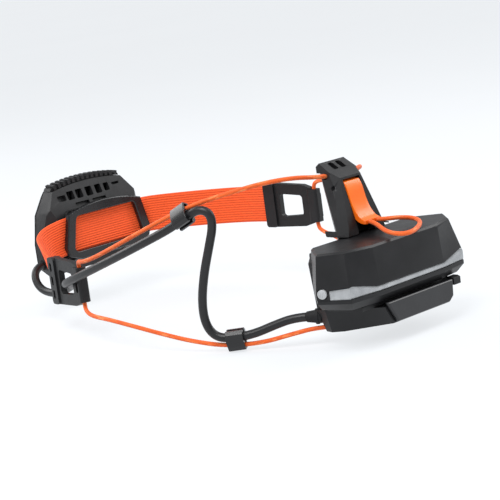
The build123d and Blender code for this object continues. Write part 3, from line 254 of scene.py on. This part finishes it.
def dress(name, mat, bevel=0.25, angle=32.0):
    """Material and softened edges on a node of the frame."""
    o = NODES[name]
    o.data.materials.clear()
    o.data.materials.append(mat)
    for p in o.data.polygons:
        p.use_smooth = True
    w = o.modifiers.new("weld", "WELD")
    w.merge_threshold = 0.00001
    if bevel:
        bv = o.modifiers.new("edge", "BEVEL")
        bv.width = bevel * MM
        bv.segments = 2
        bv.limit_method = "ANGLE"
        bv.angle_limit = math.radians(angle)
        bv.use_clamp_overlap = True
        bv.harden_normals = False
    wn = o.modifiers.new("normals", "WEIGHTED_NORMAL")
    wn.keep_sharp = False
    return o


# ---------------------------------------------------------------- cords: routes in metres
def metres(pts):
    return [Vector(p) * MM for p in pts]


cable_pts = metres([
    (38.8, -104.0, -14.0), (43.2, -103.9, -14.6), (47.0, -101.4, -19.4), (48.4, -95.2, -24.4), (48.2, -86.6, -26.2),
    (48.4, -77.6, -25.0), (49.6, -69.0, -22.0), (51.6, -61.4, -19.2), (56.4, -54.2, -16.8), (66.4, -47.0, -14.2),
    (71.0, -39.4, -11.6), (74.0, -24.0, -6.6), (74.6, -6.0, -0.4), (73.4, 12.0, 6.2), (70.0, 28.6, 12.8), (65.2, 41.2, 18.4),
    (61.7, 50.2, 23.8), (59.5, 56.7, 26.8), (57.1, 61.0, 24.8), (56.3, 61.2, 18.6), (57.4, 57.8, 8.8),
    (59.4, 53.8, -4.0), (60.8, 51.0, -17.6), (60.9, 51.4, -28.2), (58.8, 55.0, -34.6), (54.6, 61.6, -35.8), (48.4, 70.4, -34.6),
    (41.8, 78.6, -31.2), (36.6, 85.6, -28.8), (33.07, 91.36, -28.6),
])
cord_left_pts = metres([
    (5.9, 90.6, 32.4), (15.0, 90.4, 33.4), (26.0, 87.0, 35.4), (38.0, 79.0, 35.2), (49.0, 67.4, 32.6), (58.4, 53.0, 28.8),
    (65.0, 37.4, 22.8), (69.6, 20.0, 15.4), (71.6, 2.0, 8.2), (71.4, -14.0, 2.4), (69.8, -25.0, -0.4),
    (67.2, -31.6, -1.0), (64.44, -35.85, -3.3), (65.07, -34.98, -24.3), (66.6, -32.4, -27.0), (68.8, -25.0, -28.4),
    (70.6, -10.0, -28.4), (70.3, 8.0, -30.2), (67.6, 25.0, -33.2), (62.8, 42.0, -36.8), (56.4, 58.6, -39.3),
    (46.6, 73.2, -39.1), (38.4, 85.4, -36.0), (31.0, 95.7, -33.7), (24.9, 105.7, -33.7),
])
cord_right_pts = metres([
    (-5.9, 90.6, 32.4), (-13.0, 90.0, 32.2), (-27.0, 79.0, 30.4), (-42.0, 64.0, 26.6), (-55.0, 46.0, 21.6), (-64.4, 27.0, 17.0),
    (-68.9, 12.0, 14.0), (-69.9, 4.6, 12.9), (-69.65, 1.32, 10.4), (-69.65, 1.32, -11.6), (-69.5, 4.2, -14.4), (-68.4, 14.0, -16.4),
    (-62.4, 34.0, -21.0), (-53.0, 56.0, -27.0), (-42.0, 77.0, -32.2), (-31.0, 95.7, -33.7), (-24.9, 105.7, -33.7),
])
loop_pts = metres([
    (-2.3, 109.15, 10.5), (-4.5, 113.0, 10.4), (-9.5, 114.4, 9.9), (-14.5, 114.8, 9.0), (-18.4, 117.2, 8.0),
    (-17.0, 122.4, 7.2), (-9.5, 128.8, 7.0), (0.6, 134.4, 7.0), (6.6, 135.4, 7.0), (8.9, 131.4, 7.0),
    (7.6, 124.4, 7.3), (5.0, 118.2, 8.4), (2.9, 113.2, 9.8), (2.3, 109.15, 10.5),
])


def spline_points(pts, res):
    """Points of the smooth NURBS line that has the route's points as its control points."""
    cu = bpy.data.curves.new("route", "CURVE")
    cu.dimensions = "3D"
    cu.resolution_u = res
    sp = cu.splines.new("NURBS")
    sp.points.add(len(pts) - 1)
    for q, p in zip(sp.points, pts):
        q.co = (p.x, p.y, p.z, 1.0)
    sp.order_u = 3
    sp.use_endpoint_u = True
    ob = bpy.data.objects.new("route", cu)
    bpy.context.scene.collection.objects.link(ob)
    bpy.context.view_layer.update()
    me = bpy.data.meshes.new_from_object(ob)
    line = []
    for v in me.vertices:
        if not line or (v.co - line[-1]).length > 1e-6:
            line.append(v.co.copy())
    bpy.data.objects.remove(ob)
    bpy.data.curves.remove(cu)
    bpy.data.meshes.remove(me)
    return line


def tube(name, line, radius, sides, shape=None, mat=None, pitch=0.004):
    """A closed tube round a line, with UVs: u along in pitches, v round. shape(angle, s) gives the relief in metres."""
    n = len(line)
    tang = []
    for i in range(n):
        a, c = line[max(i - 1, 0)], line[min(i + 1, n - 1)]
        tang.append((c - a).normalized())
    side = tang[0].orthogonal().normalized()
    verts, dist, s = [], [], 0.0
    for i in range(n):
        if i:
            s += (line[i] - line[i - 1]).length
        side = (side - tang[i] * side.dot(tang[i])).normalized()
        up = tang[i].cross(side)
        for k in range(sides):
            a = 2 * math.pi * k / sides
            rr = radius + (shape(a, s) if shape else 0.0)
            verts.append(line[i] + (side * math.cos(a) + up * math.sin(a)) * rr)
        dist.append(s)
    faces = []
    for i in range(n - 1):
        for k in range(sides):
            k2 = (k + 1) % sides
            faces.append((i * sides + k, i * sides + k2, (i + 1) * sides + k2, (i + 1) * sides + k))
    first, last = len(verts), len(verts) + 1
    verts += [line[0] - tang[0] * radius * 0.12, line[-1] + tang[-1] * radius * 0.12]
    for k in range(sides):
        k2 = (k + 1) % sides
        faces.append((first, k2, k))
        faces.append((last, (n - 1) * sides + k, (n - 1) * sides + k2))
    me = bpy.data.meshes.new(name)
    me.from_pydata([tuple(v) for v in verts], [], faces)
    uv = me.uv_layers.new(name="UVMap")
    for p in me.polygons:
        ring = p.index // sides
        col = p.index % sides
        for li in p.loop_indices:
            vi = me.loops[li].vertex_index
            if vi >= n * sides:
                uv.data[li].uv = ((dist[0] if vi == first else dist[-1]) / pitch, 0.5)
                continue
            i, k = divmod(vi, sides)
            vv = k / sides
            if p.index < (n - 1) * sides and col == sides - 1 and k == 0:
                vv = 1.0
            uv.data[li].uv = (dist[i] / pitch, vv)
        p.use_smooth = True
    if mat:
        me.materials.append(mat)
    o = bpy.data.objects.new(name, me)
    bpy.context.scene.collection.objects.link(o)
    return o


def braid(depth, strands, pitch):
    """Two families of strands, going over and under each other."""
    def f(a, s):
        x = strands * a / (2 * math.pi) + s / pitch
        y = strands * a / (2 * math.pi) - s / pitch
        over = (math.floor(x) + math.floor(y)) % 2
        hx, hy = math.sin(math.pi * (x % 1.0)), math.sin(math.pi * (y % 1.0))
        return depth * ((hx if over else hy) - 0.6)
    return f


def add_cord(name, node_name, pts, dia, body, res, mat, sides=16, relief=None):
    line = spline_points(pts, res)
    o = tube(name, line, dia / 2 * MM, sides, relief, mat)
    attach(o, body)
    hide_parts(node_name)
    return o, line


relief = braid(0.00007, 8, 0.0016)
res = 24
cable, cable_line = add_cord("lamp_cable_run", "lamp_cable", cable_pts, 4.2, "headband", res, CABLE, sides=28)
cord_l, line_l = add_cord("cord_left_braid", "cord_left", cord_left_pts, 2.1, "headband", res * 3, CORD, sides=24, relief=relief)
cord_r, line_r = add_cord("cord_right_braid", "cord_right", cord_right_pts, 2.1, "headband", res * 3, CORD, sides=24, relief=relief)
loop, line_p = add_cord("pull_loop_braid", "pull_loop", loop_pts, 2.1, "lever", res, CORD, sides=24, relief=relief)

# ---------------------------------------------------------------- strap
strap_stations = [
    ((-66.3, -31.0, 0.0), (0.10, -1.0, 0.0), (0, 0, 1)),
    ((-64.6, -40.0, 0.0), (0.24, -1.0, 0.0), (0, 0, 1)),
    ((-61.4, -50.0, 0.0), (0.40, -1.0, 0.0), (0, 0, 1)),
    ((-56.2, -61.0, 0.0), (0.56, -1.0, 0.0), (0, 0, 1)),
    ((-49.6, -72.0, 0.0), (0.66, -1.0, 0.0), (0, 0, 1)),
    ((-42.6, -82.0, 0.0), (0.80, -1.0, 0.0), (0, 0, 1)),
    ((-36.6, -89.6, 0.0), (1.0, -0.92, 0.0), (0, 0, 1)),
    ((-31.6, -93.9, 0.0), (1.0, -0.44, 0.0), (0, 0, 1)),
    ((-27.0, -95.2, 0.0), (1.0, -0.08, 0.0), (0, 0, 1)),
    ((-12.0, -95.0, 0.0), (1.0, 0.0, 0.0), (0, 0, 1)),
    ((12.0, -95.0, 0.0), (1.0, 0.0, 0.0), (0, 0, 1)),
    ((24.0, -95.0, -0.3), (1.0, 0.0, -0.05), (0.05, 0, 1)),
    ((30.7, -95.2, -0.9), (0.98, 0.03, -0.17), (0.12, 0.01, 0.98)),
    ((36.9, -95.0, -1.9), (0.95, 0.22, -0.21), (0.20, 0.05, 0.98)),
    ((42.6, -92.4, -3.2), (0.79, 0.57, -0.21), (0.26, 0.01, 0.97)),
    ((47.5, -87.4, -4.8), (0.60, 0.76, -0.25), (0.36, -0.01, 0.93)),
    ((51.4, -81.0, -7.8), (0.50, 0.81, -0.36), (0.34, 0.10, 0.92)),
    ((54.6, -75.0, -11.4), (0.40, 0.85, -0.38), (0.18, 0.08, 0.95)),
    ((56.7, -70.2, -14.2), (0.24, 1.0, -0.16), (0.02, 0.0, 1)),
    ((57.8, -66.6, -15.05), (0.22, 1.0, 0.04), (-0.03, -0.04, 1)),
]


def hermite(p0, p1, m0, m1, x):
    x2, x3 = x * x, x * x * x
    return p0 * (2 * x3 - 3 * x2 + 1) + m0 * (x3 - 2 * x2 + x) + p1 * (-2 * x3 + 3 * x2) + m1 * (x3 - x2)


RIBS, STRAP_W, STRAP_T = 15, 0.0200, 0.0015
section = []                                   # (across 0..1, height, side)
fine = 120
for k in range(fine + 1):
    v = k / fine
    edge = min(v, 1 - v) * STRAP_W
    half = STRAP_T / 2 * min(1.0, (edge / 0.0007) ** 0.5 if edge > 0 else 0.0)
    relief_h = -0.00011 * (0.5 - 0.5 * math.cos(2 * math.pi * RIBS * v)) if 0 < k < fine else 0.0
    section.append((v, max(half + relief_h, 0.00012)))
rings = []
run = 0.0
last = None
for i in range(len(strap_stations) - 1):
    (o0, t0, w0), (o1, t1, w1) = strap_stations[i], strap_stations[i + 1]
    p0, p1 = Vector(o0) * MM, Vector(o1) * MM
    d = (p1 - p0).length
    m0, m1 = Vector(t0).normalized() * d, Vector(t1).normalized() * d
    steps = max(3, int(d / 0.0012))
    for k in range(steps + (1 if i == len(strap_stations) - 2 else 0)):
        x = k / steps
        p = hermite(p0, p1, m0, m1, x)
        q = hermite(p0, p1, m0, m1, min(x + 0.01, 1.0)) - hermite(p0, p1, m0, m1, max(x - 0.01, 0.0))
        tv = q.normalized()
        wv = Vector(w0).lerp(Vector(w1), x)
        wv = (wv - tv * wv.dot(tv)).normalized()
        if last is not None:
            run += (p - last).length
        last = p
        rings.append((p, tv, wv, tv.cross(wv), run))
verts, faces, uvs = [], [], []
m_side = len(section)
for p, tv, wv, nv, s in rings:
    for v, h in section:
        verts.append(p + wv * (v - 0.5) * STRAP_W + nv * h)
    for v, h in reversed(section):
        verts.append(p + wv * (v - 0.5) * STRAP_W - nv * h)
ring_n = 2 * m_side
for i in range(len(rings) - 1):
    for k in range(ring_n):
        k2 = (k + 1) % ring_n
        faces.append((i * ring_n + k, (i + 1) * ring_n + k, (i + 1) * ring_n + k2, i * ring_n + k2))
faces.append(tuple(range(ring_n)))
faces.append(tuple((len(rings) - 1) * ring_n + k for k in reversed(range(ring_n))))
me = bpy.data.meshes.new("strap_webbing")
me.from_pydata([tuple(v) for v in verts], [], faces)
uv = me.uv_layers.new(name="UVMap")
for p in me.polygons:
    p.use_smooth = True
    for li in p.loop_indices:
        vi = me.loops[li].vertex_index
        i, k = divmod(vi, ring_n)
        uv.data[li].uv = (rings[i][4], section[k][0] if k < m_side else section[ring_n - 1 - k][0])
me.materials.append(STRAP)
me.validate()
strap = bpy.data.objects.new("strap_webbing", me)
bpy.context.scene.collection.objects.link(strap)
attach(strap, "headband")
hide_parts("headband_strap")

# ---------------------------------------------------------------- ribbed strip of the rear light
outer = [(-43.3, 113.35), (-39.4, 127.0), (-22.0, 129.4), (22.0, 129.4), (39.4, 127.0), (43.3, 113.35)]
outer[0] = (-43.3, 118.2)
outer[-1] = (43.3, 118.2)


def top_of(x):
    """Upper edge of the strip at a given x, millimetres."""
    table = [(-43.3, -12.0), (-37.5, -10.7), (-23.0, -13.7), (23.0, -13.7), (37.5, -10.7), (43.3, -12.0)]
    for (x0, z0), (x1, z1) in zip(table, table[1:]):
        if x <= x1:
            return z0 + (z1 - z0) * (max(x, x0) - x0) / (x1 - x0)
    return table[-1][1]


path2 = []
pitch_mm = 0.42
for (x0, y0), (x1, y1) in zip(outer, outer[1:]):
    d = math.hypot(x1 - x0, y1 - y0)
    steps = max(2, int(d / (pitch_mm / 2)))
    nx, ny = (y0 - y1) / d, (x1 - x0) / d
    if ny < 0 and abs(x0) < 30:
        nx, ny = -nx, -ny
    for k in range(steps):
        x = k / steps
        path2.append((x0 + (x1 - x0) * x, y0 + (y1 - y0) * x, nx, ny))
path2.append((outer[-1][0], outer[-1][1], nx, ny))
verts, faces = [], []
rows = 7
for i, (x, y, nx, ny) in enumerate(path2):
    ridge = 0.0 if i % 2 else -0.16
    if abs(x) < 17:
        ridge *= 0.35
    z1, z0 = top_of(x) - 0.05, -16.3
    for k in range(rows):
        f = k / (rows - 1)
        crown = -0.35 * (abs(2 * f - 1) ** 4)
        verts.append(((x + nx * (ridge + crown)) * MM, (y + ny * (ridge + crown)) * MM, (z0 + (z1 - z0) * f) * MM))
    for z in (z1, z0):
        verts.append(((x - nx * 1.9) * MM, (y - ny * 1.9) * MM, z * MM))
per = rows + 2
for i in range(len(path2) - 1):
    for k in range(per):
        k2 = (k + 1) % per
        faces.append((i * per + k, (i + 1) * per + k, (i + 1) * per + k2, i * per + k2))
faces.append(tuple(reversed(range(per))))
faces.append(tuple((len(path2) - 1) * per + k for k in range(per)))
me = bpy.data.meshes.new("strip_ribbed")
me.from_pydata(verts, [], faces)
me.materials.append(STRIP)
me.validate()
strip = bpy.data.objects.new("strip_ribbed", me)
bpy.context.scene.collection.objects.link(strip)
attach(strip, "battery")
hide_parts("tail_light_lens")

# ---------------------------------------------------------------- ribbed foam pad on the head side
lo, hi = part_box("cradle_pad")
verts, faces = [], []
nx_, nz_ = 80, 36
w, h = hi.x - lo.x, hi.z - lo.z
for side in (0, 1):
    for j in range(nz_ + 1):
        for i in range(nx_ + 1):
            fx, fz = i / nx_, j / nz_
            # rounded outline
            ex = min(fx, 1 - fx) * w
            ez = min(fz, 1 - fz) * h
            e = min(ex, ez)
            dome = min(1.0, e / 0.0022)
            dome = math.sqrt(max(0.0, 1 - (1 - dome) ** 2))
            rib = 0.5 - 0.5 * math.cos(2 * math.pi * fx * 12)
            y_face = lo.y + 0.0002 + (1 - dome) * 0.0016 + (0.00055 * (rib ** 3)) * dome
            y = y_face if side == 0 else hi.y - 0.0001
            verts.append((lo.x + fx * w, y, lo.z + fz * h))
base = (nx_ + 1) * (nz_ + 1)
for j in range(nz_):
    for i in range(nx_):
        a = j * (nx_ + 1) + i
        faces.append((a, a + 1, a + nx_ + 2, a + nx_ + 1))
        faces.append((base + a, base + a + nx_ + 1, base + a + nx_ + 2, base + a + 1))
edge = [i for i in range(nx_)] + [j * (nx_ + 1) + nx_ for j in range(nz_)] + [nz_ * (nx_ + 1) + i for i in range(nx_, 0, -1)] + [j * (nx_ + 1) for j in range(nz_, 0, -1)]
for a, b_ in zip(edge, edge[1:] + edge[:1]):
    faces.append((b_, a, base + a, base + b_))
me = bpy.data.meshes.new("rear_pad_foam")
me.from_pydata(verts, [], faces)
for p in me.polygons:
    p.use_smooth = True
me.materials.append(RUBBER)
pad = bpy.data.objects.new("rear_pad_foam", me)
bpy.context.scene.collection.objects.link(pad)
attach(pad, "headband")
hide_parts("cradle_pad")

# ---------------------------------------------------------------- finishes on the frame's nodes
finish = {
    "battery_cover": (BLACK, 0.55), "battery_base": (BLACK, 0.35), "cradle_plate": (BLACK, 0.3), "plug_housing": (BLACK, 0.5),
    "label_panel": (LABEL, 0.25), "lock_tower": (BLACK, 0.45), "lock_lever": (ORANGE, 0.4), "forehead_frame": (BLACK_GLOSS, 0.45),
    "strap_connector_left": (BLACK_FINE, 0.35), "strap_connector_right": (BLACK_FINE, 0.35), "clip_upper": (BLACK_GLOSS, 0.4),
    "clip_lower": (BLACK_GLOSS, 0.4), "tilt_bracket": (BLACK_FINE, 0.3), "lamp_rear_shell": (LAMP, 0.35), "cooling_crest": (LAMP, 0.2),
    "heat_sink": (ANOD, 0), "front_bezel": (LAMP, 0.4), "lamp_gasket": (RUBBER, 0), "front_lens": (LENS, 0), "reflector": (SILVER, 0),
    "led_board": (PCB, 0), "led_emitters": (LED, 0), "driver_board": (PCB, 0), "light_sensor": (SENSOR, 0), "lamp_screws": (SCREW, 0.1),
    "lamp_cable_grommet": (RUBBER, 0.2), "power_button": (ORANGE, 0.3), "battery_cell": (CELL, 0), "battery_board": (PCB, 0),
    "tail_leds": (LED_RED, 0), "usb_socket": (STEEL, 0), "battery_contact_pads": (BRASS, 0), "battery_screws": (SCREW, 0.1),
    "gauge_button": (GREY, 0.08), "usb_cover": (RUBBER, 0.15), "battery_latch": (BLACK_FINE, 0.15), "cable_gland": (RUBBER, 0.2),
    "plug_board": (PCB, 0), "contact_pins": (BRASS, 0), "tilt_pin": (STEEL, 0.1), "lever_pin": (STEEL, 0.1), "lever_spring": (STEEL, 0),
}
for n, (mat, bev) in finish.items():
    if n in NODES:
        dress(n, mat, bev)

# ---------------------------------------------------------------- floor and light
floor_z = min(cad_lo.z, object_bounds()[0].z) - 0.0006
me = bpy.data.meshes.new("floor")
S, seg = 30.0, 1
me.from_pydata([(-S, -S, floor_z), (S, -S, floor_z), (S, S, floor_z), (-S, S, floor_z)], [], [(0, 1, 2, 3)])
m, nt, b = new_mat("floor_pale")
nz = node(nt, "ShaderNodeTexNoise", Scale=3.0, Detail=2.0)
nt.links.new(coords(nt), nz.inputs["Vector"])
nt.links.new(ramp(nt, nz.outputs["Fac"], [(0.3, (0.195, 0.200, 0.207)), (0.7, (0.202, 0.207, 0.214))]), b.inputs["Base Color"])
b.inputs["Roughness"].default_value = 0.9
b.inputs["Specular IOR Level"].default_value = 0.05
b.inputs["Emission Color"].default_value = (0.95, 0.975, 1.0, 1)
b.inputs["Emission Strength"].default_value = 0.74
me.materials.append(m)
floor = bpy.data.objects.new("floor", me)
bpy.context.scene.collection.objects.link(floor)

world = bpy.data.worlds.new("studio")
bpy.context.scene.world = world
world.use_nodes = True
world.node_tree.nodes["Background"].inputs["Color"].default_value = (0.95, 0.975, 1.0, 1)
world.node_tree.nodes["Background"].inputs["Strength"].default_value = 0.62


def softbox(name, loc, target, size, power):
    ld = bpy.data.lights.new(name, "AREA")
    ld.shape = "RECTANGLE"
    ld.size, ld.size_y = size
    ld.energy = power
    lo_ = bpy.data.objects.new(name, ld)
    lo_.location = loc
    lo_.rotation_mode = "QUATERNION"
    lo_.rotation_quaternion = (Vector(target) - Vector(loc)).to_track_quat("-Z", "Y")
    bpy.context.scene.collection.objects.link(lo_)


softbox("key", (0.55, 0.25, 0.85), (0, 0.02, 0), (0.6, 0.6), 9.0)
softbox("back", (-0.75, 0.35, 0.65), (0, 0.05, 0), (0.5, 0.9), 6.0)
softbox("front_fill", (0.25, -0.8, 0.5), (0, -0.05, 0), (0.7, 0.5), 4.0)
